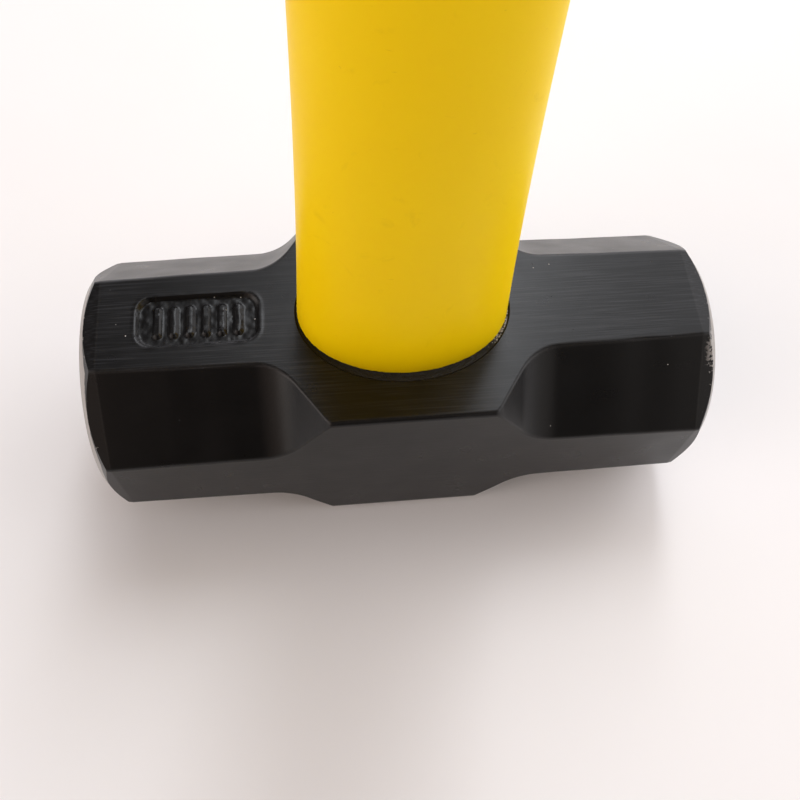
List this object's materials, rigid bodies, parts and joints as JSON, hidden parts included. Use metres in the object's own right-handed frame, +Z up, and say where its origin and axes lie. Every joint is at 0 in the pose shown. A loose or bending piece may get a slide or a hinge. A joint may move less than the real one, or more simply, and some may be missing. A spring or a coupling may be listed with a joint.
{
  "type": "sledgehammer",
  "caption": "Long-handled sledgehammer: black octagonal double-faced steel head bonded to an oval moulded handle with a rubber grip.",
  "frame": {"origin": "on the ground under the middle of the eye, with the head standing on its crown side", "axes": "+X along the head towards one striking face, +Y from cheek to cheek, +Z straight up the handle"},
  "size_m": [0.1478, 0.057, 0.813],
  "materials": {
    "head": "satin",
    "core_rod": "satin",
    "handle_jacket": "satin",
    "eye_seal": "matte",
    "epoxy_fill": "satin",
    "grip_sleeve": "matte"
  },
  "bodies": {
    "root": {"head": "head", "core_rod": "core_rod", "handle_jacket": "handle_jacket", "eye_seal": "eye_seal", "epoxy_fill": "epoxy_fill", "grip_sleeve": "grip_sleeve"}
  },
  "joints": []
}
